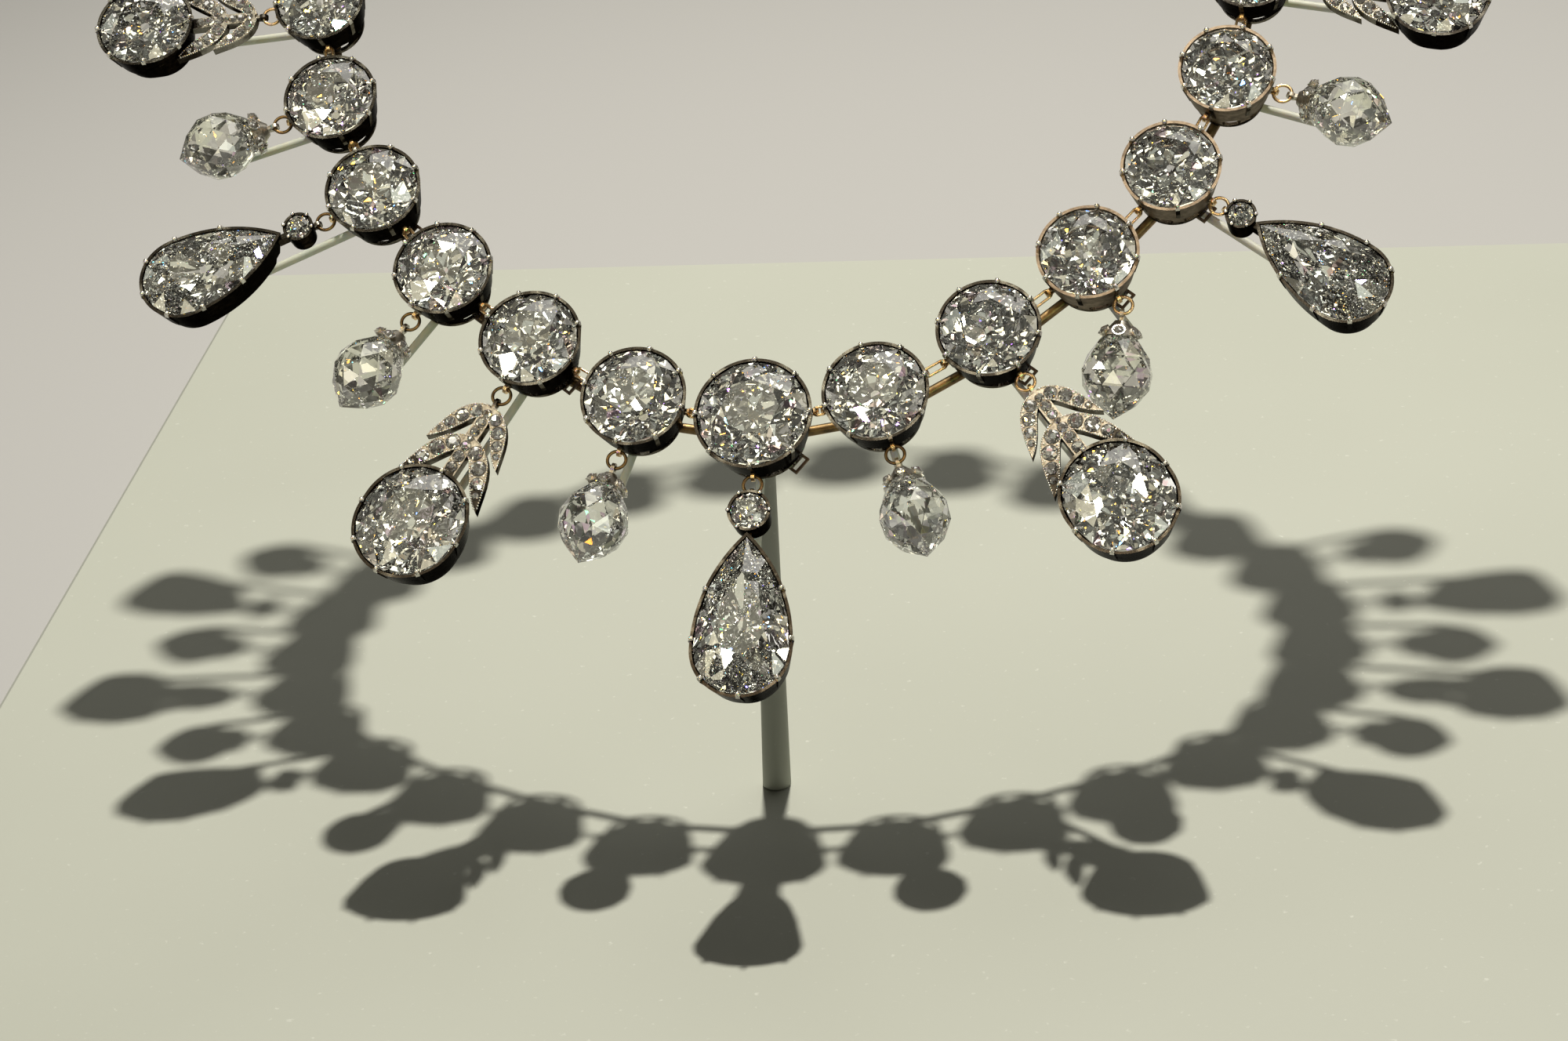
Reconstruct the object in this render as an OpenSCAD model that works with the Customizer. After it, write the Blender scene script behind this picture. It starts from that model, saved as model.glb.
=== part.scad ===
// Diamond necklace on its display stand. A graduated row of round collets closes into a loop.
// Pear, leaf and briolette drops hang from the front nineteen. The loop lies on a sloping wire
// frame, which one slim post carries above a plain square block.

/* [Row of collets] */
// Outer diameter of the centre collet
centre_collet_d = 14; // [13.5:0.1:14.5]
// Outer diameter that the graduated row starts from
row_collet_d = 12.9; // [12.7:0.1:13.1]
// How much smaller each collet is than the one before it
collet_step = 0.25; // [0.2:0.05:0.3]
// Outer diameter of the smallest collets, behind the neck
back_collet_d = 11; // [10.8:0.1:11.2]
// Gap between the rims beside the centre collet
centre_gap = 1.2; // [1.1:0.05:1.4]
// Gap between the rims of the other collets
rim_gap = 2.6; // [2.55:0.05:2.7]
// Depth of a main collet from its rim to the foot of its gallery
collet_depth = 6.9; // [6.5:0.1:7]

/* [Drops] */
// Length of the centre pear
pear_l = 20.3; // [18:0.1:21]
// Width of the centre pear
pear_w = 12; // [11:0.1:12.5]
// Diameter of the small collet above the centre pear
small_collet_d = 5.1; // [4.6:0.1:5.4]
// Width of the large oval collet under a leaf
oval_w = 13.4; // [12.6:0.1:13.8]
// Greatest diameter of a briolette
briolette_d = 8.5; // [7.5:0.1:8.5]
// Length of a briolette, with the part inside its cap
briolette_l = 11; // [10:0.1:12]

/* [Stand] */
// Slope of the loop above the level
loop_tilt = 38.6; // [30:0.1:45]
// Height of the centre rim above the block
rim_height = 52.2; // [48:0.1:60]
// Side of the square block
block_side = 218; // [216:1:240]
// Thickness of the block
block_t = 10; // [6:1:20]
// Diameter of the frame's wire
wire_d = 1.2; // [1.1:0.1:1.6]
// Diameter of the post at its foot
post_d = 3.5; // [3:0.1:5]

/* [Hidden] */
$fn = 48;

// The row, one line for each collet from the centre round to the last before the back one.
// Columns: heading to the next collet, drop, its angle from straight down on the left and on
// the right, and whether a sewing loop shows behind the collet
HEADING = 0;
DROP = 1;
LEFT_ANGLE = 2;
RIGHT_ANGLE = 3;
SEWING_LOOP = 4;
ROW = [
    [10, "pear", 0, 0, true],
    [31, "briolette", 16, 18, false],
    [40, "leaf", 29, 36, true],
    [49, "briolette", 35, 35, true],
    [63, "pear", 64, 53, true],
    [79, "briolette", 71, 71, false],
    [89, "leaf", 84, 79, false],
    [97, "briolette", 103, 87, false],
    [108, "pear", 112, 98, false],
    [123, "briolette", 120, 120, false],
    [130, "none", 125, 125, false],
    [140, "none", 135, 135, false],
    [154, "none", 150, 150, false],
    [180, "none", 165, 165, false]
];
last_row = len(ROW) - 1;
back_place = len(ROW);
main_places = 5;          // collets and drops up to this place are pieces of their own
open_places = 6;          // collets have ribs and open galleries up to this place

// The pears, one line for each place that has one
// Columns: place, length and width against the centre pear, size against the centre small collet
PEARS = [
    [0, 1, 1, 1],
    [4, 0.91, 0.9, 0.74],
    [8, 0.79, 0.8, 0.7]
];
// The leaves, one line for each place. Columns: place, size against the front leaf, oval stretch
LEAVES = [
    [2, 1, 0.6],
    [6, 0.82, 0.5]
];

// Collet section
wall_t = 0.35;
cup_depth = 4.3;
taper = 0.9;              // how much the cup narrows down to the gallery
seat_w = 0.4;
skirt_in = 0.25;          // step from the cup to the gallery
foot_in = 0.45;
skirt_t = 0.45;
claws = 8;
claw_w = 0.5;
claw_out = 0.15;          // how far a claw stands off the wall
bead_r = 0.3;
stone_gap = 0.1;
girdle_top = -0.05;
girdle_h = 0.3;
CULET = 0.1;              // proportions of an old cut, against the girdle
TABLE = 0.52;
STAR = 0.74;
LOWER = 0.46;
CROWN = 0.3;
PAVILION = 0.82;

// Links and lugs
lug_z = -2.7;
lug_r = 0.62;
lug_t = 0.44;
hole_r = 0.36;
lug_out = 0.45;           // hole's centre beyond the wall
link_wire_r = 0.18;
link_half_w = 0.5;
link_waist = 0.92;        // straight wire of a link, against its bends
link_bite = 0.08;         // how far the straight wires run into the bends
ring_r = 1.1;
ring_wire_r = 0.2;
rest_gap = 0.2;           // between a collet's foot and the wire under it

// Drops
pear_rim_z = -0.6;
small_rim_z = -0.9;
small_depth = 3.2;
drop_depth = collet_depth + pear_rim_z;
neck_l = 0.3;
leaf_top_z = -2;
leaf_t = 1.3;
leaf_start = 0.7;
leaf_pitch = 4.5;         // from the first pair of wings to the second
second_wings = 1.16;      // size of the second pair against the first
oval_centre = 18;         // from the lug's hole to the middle of the front oval
stem_w = 1.7;
pocket_depth = 0.45;
pocket_gap = 0.05;
cap_l = 1.8;
briolette_start = 1.4;
loose_place = 3;          // the right-hand briolette here has slipped and hangs lower
loose_turn = -6;
loose_droop = 20;

// Stand
wire_r = wire_d / 2;
arm_r = 0.85 * wire_r;
joint_swell = 0.4;        // ball of solder at each joint of the wire
wire_z = -collet_depth - rest_gap - wire_r;
plate_r = 4;
plate_t = 1;
post_top_d = 2.3;
post_foot_x = -2;
post_foot_back = 2;
front_y = -47;            // the centre rim, forward of the block's middle
rim_z = block_t + rim_height;

// Sizes and places in the row

function collet_r(i) = (i == 0 ? centre_collet_d : max(back_collet_d, row_collet_d - collet_step * i)) / 2;
function place_step(i) = collet_r(i) + collet_r(i + 1) + (i == 0 ? centre_gap : rim_gap);
function heading_of(i) = [cos(ROW[i][HEADING]), sin(ROW[i][HEADING])];
half_row = [for (i = 0, p = [0, 0]; i <= last_row; p = p + place_step(i) * heading_of(i), i = i + 1) p];
closing_x = half_row[last_row][0];
closing_y = half_row[last_row][1];
back_y = closing_y + sqrt(max(0, pow(place_step(last_row), 2) - pow(closing_x, 2)));

// A place counts up to the right and down to the left from 0 at the centre
function side(k) = k < 0 ? -1 : 1;
function centre_at(k) = k == back_place ? [0, back_y] : [side(k) * half_row[abs(k)][0], half_row[abs(k)][1]];
function angle_at(k) = k == back_place ? 180 : ROW[abs(k)][k < 0 ? LEFT_ANGLE : RIGHT_ANGLE];
function bearing_at(k) = -90 + side(k) * angle_at(k);
function drop_at(k) = k == back_place ? "none" : ROW[abs(k)][DROP];
function next_place(k) = k == last_row ? back_place : k == back_place ? -last_row : k + 1;
function place_before(k) = k == -last_row ? back_place : k == back_place ? last_row : k - 1;
function toward(a, b) = atan2(centre_at(b)[1] - centre_at(a)[1], centre_at(b)[0] - centre_at(a)[0]);
function dir(a) = [cos(a), sin(a)];
function cup_r(r, z) = r + taper * z / cup_depth;
function hole_at(k) = cup_r(collet_r(abs(k)), lug_z) + lug_out;

all_places = [for (k = [-last_row : back_place]) k];
drop_places = [for (k = all_places) if (drop_at(k) != "none") k];
back_drops = [for (k = drop_places) if (abs(k) > main_places) k];
function pear_line(k) = PEARS[search(abs(k), PEARS)[0]];
function leaf_line(k) = LEAVES[search(abs(k), LEAVES)[0]];
function is_loose(k) = k == loose_place;
function swing_bearing(k) = is_loose(k) ? -90 + loose_turn : bearing_at(k);
function ring_centre(k) = centre_at(k) + (hole_at(k) + ring_r) * dir(bearing_at(k));
function drop_origin(k) = ring_centre(k) + ring_r * dir(swing_bearing(k));

// Sets its children in the loop's own plane, with Z off the faces of the stones
module on_loop(p, turn = 0) {
    translate([0, front_y, rim_z])
        rotate([loop_tilt, 0, 0])
            translate([p[0], p[1], 0])
                rotate([0, 0, turn])
                    children();
}

// Sets its children at a drop's lug, with X pointing away from its collet
module on_drop(k) {
    on_loop(drop_origin(k), swing_bearing(k))
        translate([0, 0, lug_z])
            rotate([0, is_loose(k) ? loose_droop : 0, 0])
                translate([0, 0, -lug_z])
                    children();
}

// A round bar from p to q
module bar(p, q, r1, r2) {
    v = q - p;
    l = norm(v);
    translate(p)
        rotate([0, acos(v[2] / l), atan2(v[1], v[0])])
            cylinder(h = l, r1 = r1, r2 = r2);
}

// Metal of the settings

// Section of a tapered cup on a lower gallery, with a seat for the stone, at radius r
module collet_section(r, depth, cup, narrow) {
    g = r - narrow - skirt_in;
    polygon([
        [r, 0],
        [r - narrow, -cup],
        [g, -cup],
        [g - foot_in, -depth],
        [g - foot_in - skirt_t, -depth],
        [g - skirt_t, -cup],
        [r - narrow - skirt_t, -cup],
        [r - wall_t - 0.15, -1.5],
        [r - wall_t - seat_w, -1.2],
        [r - wall_t - seat_w, -0.95],
        [r - wall_t, -0.5],
        [r - wall_t, 0]
    ]);
}

// A rounded slot through the gallery, along X
module gallery_slot(r, width) {
    slot_r = 0.7;
    mid_z = -(cup_depth + collet_depth) / 2;
    reach = 3.5;
    end = [width / 2 - slot_r, 0];
    translate([r - reach, 0, mid_z])
        rotate([90, 0, 90])
            linear_extrude(reach)
                polygon(concat(
                    [for (a = [-90 : 30 : 90]) end + slot_r * dir(a)],
                    [for (a = [90 : 30 : 270]) slot_r * dir(a) - end]
                ));
}

// A claw with a rib up the wall, or only its tip, and its bead over the stone's edge
module claw(r, ribbed = true) {
    low_z = ribbed ? -3.6 : -0.6;
    low_r = cup_r(r, low_z);
    rotate([90, 0, 0])
        linear_extrude(claw_w, center = true)
            polygon([
                [low_r - 0.1, low_z],
                [low_r + claw_out, low_z + 0.3],
                [r + claw_out, 0],
                [r, 0.5],
                [r - 0.25, 0.5],
                [r - 0.2, -0.3]
            ]);
    translate([r - 0.25, 0, 0.45])
        sphere(r = bead_r);
}

// An upright eye soldered to a wall that ends at x = wall_x, its hole at x = hole_x
module lug(wall_x, hole_x) {
    bite = 0.2;
    difference() {
        union() {
            translate([hole_x, 0, lug_z])
                rotate([90, 0, 0])
                    cylinder(h = lug_t, r = lug_r, center = true);
            translate([min(wall_x - bite, hole_x), -lug_t / 2, lug_z - 0.45])
                cube([abs(hole_x - wall_x) + bite, lug_t, 0.9]);
        }
        translate([hole_x, 0, lug_z])
            rotate([90, 0, 0])
                cylinder(h = 2 * lug_t, r = hole_r, center = true);
    }
}

// A flat loop at the foot of the gallery, by which the piece is sewn or screwed to a frame
module sewing_loop(r) {
    size = [1.3, 2.4, 0.3];
    edge = 0.3;
    translate([r - 1.75, -size[1] / 2, -collet_depth + 0.12])
        difference() {
            cube(size);
            translate([0.45, edge, -1])
                cube([size[0] - 0.45 - edge, size[1] - 2 * edge, 2]);
        }
}

// A main collet about its own centre, with an eye toward each bearing in the list
module main_collet(r, eyes, first_claw, open) {
    slot_w = 2 * PI * (r - taper - skirt_in) / claws * 0.62;
    difference() {
        rotate_extrude()
            collet_section(r, collet_depth, cup_depth, taper);
        if (open)
            for (i = [0 : claws - 1])
                rotate([0, 0, first_claw + (i + 0.5) * 360 / claws])
                    gallery_slot(r, slot_w);
    }
    for (i = [0 : claws - 1])
        rotate([0, 0, first_claw + i * 360 / claws])
            claw(r, open);
    for (a = eyes)
        rotate([0, 0, a])
            lug(cup_r(r, lug_z), cup_r(r, lug_z) + lug_out);
}

module collet(k) {
    drop_eye = drop_at(k) == "none" ? [] : [bearing_at(k)];
    eyes = concat([toward(k, place_before(k)), toward(k, next_place(k))], drop_eye);
    color("DimGray")
        on_loop(centre_at(k)) {
            main_collet(collet_r(abs(k)), eyes, bearing_at(k), abs(k) <= open_places);
            if (abs(k) < back_place && ROW[abs(k)][SEWING_LOOP])
                rotate([0, 0, -38])
                    sewing_loop(collet_r(abs(k)));
        }
}

// A small round collet, rim at z = 0
module small_collet(r) {
    narrow = 0.3;
    floor_z = -small_depth;
    rotate_extrude()
        polygon([
            [r, 0],
            [r - narrow, floor_z],
            [0, floor_z],
            [0, floor_z + 0.4],
            [r - narrow - 0.4, floor_z + 0.4],
            [r - 0.3, -1],
            [r - 0.3, 0]
        ]);
    for (i = [0 : 5])
        rotate([0, 0, 30 + i * 60])
            translate([r - 0.12, 0, 0.2])
                sphere(r = 0.26);
}

// The pear's outline is a half circle and two long arcs that meet at the tip, on the -X side
function pear_arc_r(r, reach) = (r * r + reach * reach) / (2 * r);

module pear_wall(r, reach) {
    arc_r = pear_arc_r(r, reach);
    sweep = asin(reach / arc_r) + 3;
    rotate([0, 0, -90])
        rotate_extrude(angle = 180)
            collet_section(r, drop_depth, cup_depth, taper);
    for (s = [0, 1])
        mirror([0, s, 0])
            intersection() {
                translate([0, r - arc_r, 0])
                    rotate([0, 0, 90])
                        rotate_extrude(angle = sweep, $fn = 96)
                            collet_section(arc_r, drop_depth, cup_depth, taper);
                translate([-2 * reach, 0, -2 * drop_depth])
                    cube([2 * reach, 2 * r, 4 * drop_depth]);
            }
}

// A point of a pear's outline, set in by inset, at 0 to 360 degrees about its round end
function pear_point(r, reach, inset, a) =
    abs(a > 180 ? a - 360 : a) <= 90
        ? (r - inset) * dir(a)
        : let (
            b = a > 180 ? 360 - a : a,
            arc_r = pear_arc_r(r, reach),
            far = acos((arc_r - r) / (arc_r - inset)),
            t = far * (b - 90) / 90
        ) [-(arc_r - inset) * sin(t), (a > 180 ? -1 : 1) * (r - arc_r + (arc_r - inset) * cos(t))];

// Turn and place of a claw on the pear at angle a of its outline
module at_pear_edge(r, reach, a) {
    p = pear_point(r, reach, 0, a);
    arc_r = pear_arc_r(r, reach);
    hub = a <= 90 || a >= 270 ? [0, 0] : [0, (a > 180 ? 1 : -1) * (arc_r - r)];
    out = atan2(p[1] - hub[1], p[0] - hub[0]);
    translate([p[0], p[1], 0])
        rotate([0, 0, out])
            translate([-r, 0, 0])
                children();
}

function small_r(k) = small_collet_d / 2 * pear_line(k)[3];
function small_centre(k) = lug_out + small_r(k) - 0.2;
function pear_r(k) = pear_w / 2 * pear_line(k)[2];
function pear_reach(k) = pear_l * pear_line(k)[1] - pear_r(k);
function pear_centre(k) = small_centre(k) + small_r(k) + neck_l + pear_reach(k);

module pear_setting(k) {
    r = pear_r(k);
    reach = pear_reach(k);
    tip = pear_centre(k) - reach;
    color("DimGray")
        on_drop(k) {
            lug(small_centre(k) - small_r(k) + 0.2, 0);
            translate([small_centre(k), 0, small_rim_z])
                small_collet(small_r(k));
            translate([tip - neck_l - 0.4, -0.35, -3])
                cube([neck_l + 1.2, 0.7, 1.4]);
            translate([pear_centre(k), 0, pear_rim_z]) {
                pear_wall(r, reach);
                for (a = [0, 50, 96, 132, 228, 264, 310])
                    at_pear_edge(r, reach, a)
                        claw(r);
            }
        }
}

// An oval wall is a round one with a short straight piece let in along X
module oval_wall(r, stretch) {
    for (s = [-1, 1])
        translate([s * stretch, 0, 0])
            rotate([0, 0, -90 * s])
                rotate_extrude(angle = 180)
                    collet_section(r, drop_depth, cup_depth, taper);
    for (s = [0, 1])
        mirror([0, s, 0])
            translate([-stretch, 0, 0])
                rotate([90, 0, 90])
                    linear_extrude(2 * stretch)
                        collet_section(r, drop_depth, cup_depth, taper);
}

function leaf_size(k) = leaf_line(k)[1];
function oval_r(k) = oval_w / 2 * (leaf_line(k)[0] == 2 ? 1 : 0.85);
function oval_stretch(k) = leaf_line(k)[2];
function oval_x(k) = oval_centre * leaf_size(k);

// A wing of the leaf: its middle line is a curve from the stem to the tip, t from 0 to 1
WING = [[0.8, 0.1], [1.3, 2.7], [4.1, 3], [6.9, 5]];
function wing_mid(t) =
    pow(1 - t, 3) * WING[0] + 3 * t * pow(1 - t, 2) * WING[1]
    + 3 * t * t * (1 - t) * WING[2] + t * t * t * WING[3];
function wing_run(t) = let (v = wing_mid(t + 0.01) - wing_mid(t - 0.01)) v / norm(v);
function wing_half(t) = cos(90 * pow(t, 1.6)) * (0.8 + 0.6 * t);
function wing_edge(t, s) = wing_mid(t) + s * wing_half(t) * [-wing_run(t)[1], wing_run(t)[0]];
wing_steps = 9;
wing_outline = concat(
    [for (i = [0 : wing_steps]) wing_edge(i / wing_steps, 1)],
    [for (i = [wing_steps - 1 : -1 : 0]) wing_edge(i / wing_steps, -1)]
);

// Stones on one pair of wings and the stem below it, as [x, y, radius]
WING_STONES = [0.2, 0.45, 0.66, 0.81];
edge_margin = 0.14;
pair_stones = concat(
    [for (t = WING_STONES, s = [-1, 1]) [wing_mid(t)[0], s * wing_mid(t)[1], wing_half(t) - edge_margin]],
    [[1.15, 0, 0.55], [2.45, 0, 0.63], [3.75, 0, 0.6]]
);
leaf_stone_list = concat(
    pair_stones,
    [[4.77, 0, 0.36]],
    [for (q = pair_stones) [leaf_pitch + second_wings * q[0], second_wings * q[1], second_wings * q[2]]]
);

// Flat leaf, about the lug's hole, before its size for the place
module leaf_plate() {
    for (w = [0, 1], s = [0, 1])
        translate([w * leaf_pitch, 0, 0])
            mirror([0, s, 0])
                linear_extrude(leaf_t)
                    polygon((w == 0 ? 1 : second_wings) * wing_outline);
    translate([0.3, -stem_w / 2, 0])
        cube([oval_centre - oval_w / 2 + 0.1, stem_w, leaf_t]);
}

module leaf_setting(k) {
    size = leaf_size(k);
    r = oval_r(k);
    color("Silver")
        on_drop(k) {
            lug(leaf_start, 0);
            difference() {
                translate([leaf_start, 0, leaf_top_z - leaf_t])
                    scale([size, size, 1])
                        leaf_plate();
                for (q = leaf_stone_list)
                    translate([leaf_start + size * q[0], size * q[1], leaf_top_z - pocket_depth])
                        cylinder(h = 2 * pocket_depth, r = size * q[2] + pocket_gap);
                translate([oval_x(k), 0, -20])
                    cylinder(h = 40, r = r - wall_t - 0.05);
            }
            translate([oval_x(k), 0, pear_rim_z]) {
                oval_wall(r, oval_stretch(k));
                for (i = [0 : claws - 1])
                    translate([(i < 2 || i > 5 ? 1 : i == 2 || i == 6 ? 0 : -1) * oval_stretch(k), 0, 0])
                        rotate([0, 0, i * 360 / claws])
                            claw(r);
            }
        }
}

// A crown-shaped cap on the head of a briolette
module briolette_cap(k) {
    color("Silver")
        on_drop(k) {
            lug(0.7, 0);
            translate([0.8, 0, lug_z])
                rotate([0, 90, 0])
                    difference() {
                        union() {
                            cylinder(h = cap_l, r1 = 0.75, r2 = 2.25);
                            for (i = [0 : 5])
                                rotate([0, 0, i * 60])
                                    translate([1.95, 0, cap_l - 0.35])
                                        sphere(r = 0.6);
                        }
                        translate([0, 0, 0.45])
                            cylinder(h = 3 * cap_l, r1 = 0.95, r2 = 0.95 + 0.83 * 3 * cap_l);
                    }
        }
}

// Cut stones

// A stone cut with a table, eight kites, eight stars and sixteen upper facets over a girdle, and
// sixteen lower facets and eight mains down to the culet. The sixteen points of its outline run
// round in order and hub is the point that its facets close in on.
module cut_stone(outline, hub, crown_h, pavilion_h) {
    n = len(outline);
    half = n / 2;
    low_girdle = girdle_top - girdle_h;
    shrink = function(i, f) hub + f * (outline[i % n] - hub);
    cos_half = cos(360 / n);
    star_z = girdle_top + crown_h * (1 - STAR * cos_half) / (1 - TABLE);
    lower_z = low_girdle - pavilion_h * (1 - LOWER * cos_half) / (1 - CULET);
    points = concat(
        [for (i = [0 : half - 1]) [each shrink(2 * i, TABLE), girdle_top + crown_h]],
        [for (i = [0 : half - 1]) [each shrink(2 * i + 1, STAR), star_z]],
        [for (i = [0 : n - 1]) [each outline[i], girdle_top]],
        [for (i = [0 : n - 1]) [each outline[i], low_girdle]],
        [for (i = [0 : half - 1]) [each shrink(2 * i + 1, LOWER), lower_z]],
        [for (i = [0 : half - 1]) [each shrink(2 * i, CULET), low_girdle - pavilion_h]]
    );
    table = function(i) i % half;
    star = function(i) half + (i + half) % half;
    top = function(i) n + (i + n) % n;
    low = function(i) 2 * n + (i + n) % n;
    lower = function(i) 3 * n + (i + half) % half;
    culet = function(i) 3 * n + half + i % half;
    faces = concat(
        [[for (i = [half - 1 : -1 : 0]) table(i)]],
        [for (i = [0 : half - 1]) [table(i), table(i + 1), star(i)]],
        [for (i = [0 : half - 1], f = [
            [table(i), star(i), top(2 * i)],
            [table(i), top(2 * i), star(i - 1)],
            [star(i), top(2 * i + 1), top(2 * i)],
            [star(i), top(2 * i + 2), top(2 * i + 1)]
        ]) f],
        [for (i = [0 : n - 1], f = [
            [top(i), top(i + 1), low(i + 1)],
            [top(i), low(i + 1), low(i)]
        ]) f],
        [for (i = [0 : half - 1], f = [
            [lower(i), low(2 * i), low(2 * i + 1)],
            [lower(i), low(2 * i + 1), low(2 * i + 2)],
            [culet(i), low(2 * i), lower(i)],
            [culet(i), lower(i - 1), low(2 * i)],
            [culet(i), lower(i), culet(i + 1)]
        ]) f],
        [[for (i = [0 : half - 1]) culet(i)]]
    );
    polyhedron(points = points, faces = faces, convexity = 4);
}

GIRDLE_POINTS = 16;
function round_outline(r) = [for (i = [0 : GIRDLE_POINTS - 1]) r * dir(i * 360 / GIRDLE_POINTS)];

module main_stone(k) {
    r = collet_r(abs(k)) - wall_t - stone_gap;
    color("AliceBlue")
        on_loop(centre_at(k), bearing_at(k))
            cut_stone(round_outline(r), [0, 0], CROWN * r, PAVILION * r);
}

// The stones of a pear drop: a small round one and the pear itself
module pear_stones(k) {
    r = pear_r(k);
    reach = pear_reach(k);
    inset = wall_t + stone_gap;
    round_r = small_r(k) - 0.3 - stone_gap;
    outline = [for (i = [0 : GIRDLE_POINTS - 1]) pear_point(r, reach, inset, i * 360 / GIRDLE_POINTS)];
    hub = [-0.22 * reach, 0];
    color("AliceBlue")
        on_drop(k) {
            translate([small_centre(k), 0, small_rim_z])
                cut_stone(round_outline(round_r), [0, 0], 0.36 * round_r, 0.85 * round_r);
            translate([pear_centre(k), 0, pear_rim_z])
                cut_stone(outline, hub, CROWN * r, 0.7 * r);
        }
}

module oval_stone(k) {
    r = oval_r(k) - wall_t - stone_gap;
    e = oval_stretch(k);
    outline = [for (q = round_outline(r)) q + [e * (abs(q[0]) < 0.01 ? 0 : sign(q[0])), 0]];
    color("AliceBlue")
        on_drop(k)
            translate([oval_x(k), 0, pear_rim_z])
                cut_stone(outline, [0, 0], CROWN * r, 0.78 * r);
}

// A briolette: a drop covered in facets, each row of corners turned half a step from the last
module briolette(k) {
    sides = 10;
    rows = 6;
    swell = function(t) briolette_d / 2 * pow(sin(180 * pow(0.07 + 0.93 * t, 1.2)), 0.8);
    points = concat(
        [for (j = [0 : rows - 1], i = [0 : sides - 1])
            let (t = j / rows, a = (i + (j % 2) / 2) * 360 / sides)
            [briolette_start + briolette_l * t, swell(t) * cos(a), swell(t) * sin(a)]],
        [[briolette_start + briolette_l, 0, 0]]
    );
    at = function(j, i) j * sides + i % sides;
    faces = concat(
        [[for (i = [0 : sides - 1]) at(0, i)]],
        [for (j = [0 : rows - 2], i = [0 : sides - 1], f = j % 2 == 0
            ? [[at(j, i), at(j + 1, i), at(j, i + 1)], [at(j, i + 1), at(j + 1, i), at(j + 1, i + 1)]]
            : [[at(j, i), at(j + 1, i + 1), at(j, i + 1)], [at(j, i), at(j + 1, i), at(j + 1, i + 1)]]
        ) f],
        [for (i = [0 : sides - 1]) [at(rows - 1, i), rows * sides, at(rows - 1, i + 1)]]
    );
    color("LightGoldenrodYellow")
        on_drop(k)
            translate([0, 0, lug_z])
                polyhedron(points = points, faces = faces, convexity = 4);
}

// A small stone with a table and eight crown facets, its girdle just above its pocket
module little_stone(r) {
    levels = [[0.55, 0.4], [1, 0.08]];
    points = concat(
        [for (l = levels, i = [0 : 7]) [r * l[0] * cos(45 * i), r * l[0] * sin(45 * i), l[1]]],
        [[0, 0, 0.05 - pocket_depth]]
    );
    faces = concat(
        [[for (i = [7 : -1 : 0]) i]],
        [for (i = [0 : 7]) [i, (i + 1) % 8, 8 + (i + 1) % 8, 8 + i]],
        [for (i = [0 : 7]) [8 + i, 8 + (i + 1) % 8, 16]]
    );
    polyhedron(points = points, faces = faces, convexity = 2);
}

module leaf_stones() {
    color("AliceBlue")
        for (k = drop_places)
            if (drop_at(k) == "leaf")
                on_drop(k)
                    for (q = leaf_stone_list)
                        translate([leaf_start + leaf_size(k) * q[0], leaf_size(k) * q[1], leaf_top_z])
                            little_stone(leaf_size(k) * q[2]);
}

// Chosen by the kind of drop at a place
module drop_setting(k) {
    if (drop_at(k) == "pear") pear_setting(k);
    if (drop_at(k) == "leaf") leaf_setting(k);
    if (drop_at(k) == "briolette") briolette_cap(k);
}

module drop_stone(k) {
    if (drop_at(k) == "pear") pear_stones(k);
    if (drop_at(k) == "leaf") oval_stone(k);
    if (drop_at(k) == "briolette") briolette(k);
}

// Links

// A long link through the eyes of two collets, between place k and the next
module long_link(k, wire = link_wire_r) {
    n = next_place(k);
    a = centre_at(k) + hole_at(k) * dir(toward(k, n));
    b = centre_at(n) + hole_at(n) * dir(toward(n, k));
    straight = norm(b - a) / 2 - link_half_w + 0.04;
    on_loop((a + b) / 2, toward(k, n))
        translate([0, 0, lug_z])
            for (s = [-1, 1]) {
                translate([s * straight, 0, 0])
                    rotate([0, 0, -90 * s])
                        rotate_extrude(angle = 180)
                            translate([link_half_w, 0])
                                circle(r = wire);
                translate([-straight - link_bite, s * link_half_w, 0])
                    rotate([0, 90, 0])
                        cylinder(h = 2 * (straight + link_bite), r = link_waist * wire);
            }
}

// The clasp takes the place of the link on the left of the back collet
module chain_links() {
    color("Gold")
        for (k = all_places)
            if (k != back_place) long_link(k);
}

// One plain piece: a long link with a thumb plate under it
module clasp() {
    n = next_place(back_place);
    a = centre_at(back_place) + hole_at(back_place) * dir(toward(back_place, n));
    b = centre_at(n) + hole_at(n) * dir(toward(n, back_place));
    plate = [1.1, 2.6, 0.5];
    color("Gold") {
        long_link(back_place);
        on_loop((a + b) / 2, toward(back_place, n))
            translate([-plate[0] / 2, -plate[1] / 2, lug_z - 0.1 - plate[2]])
                cube(plate);
    }
}

module drop_rings() {
    color("Goldenrod")
        for (k = drop_places)
            on_loop(ring_centre(k))
                translate([0, 0, lug_z])
                    rotate_extrude()
                        translate([ring_r, 0])
                            circle(r = ring_wire_r);
}

// Stand

// How far an arm reaches out from the loop under its drop
function arm_reach(k) =
    drop_at(k) == "pear" ? hole_at(k) + 2 * ring_r + pear_centre(k)
    : drop_at(k) == "leaf" ? hole_at(k) + 2 * ring_r + oval_x(k)
    : is_loose(k) ? hole_at(k) + 2 * ring_r
    : hole_at(k) + 2 * ring_r + briolette_start + briolette_l / 2;

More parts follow.
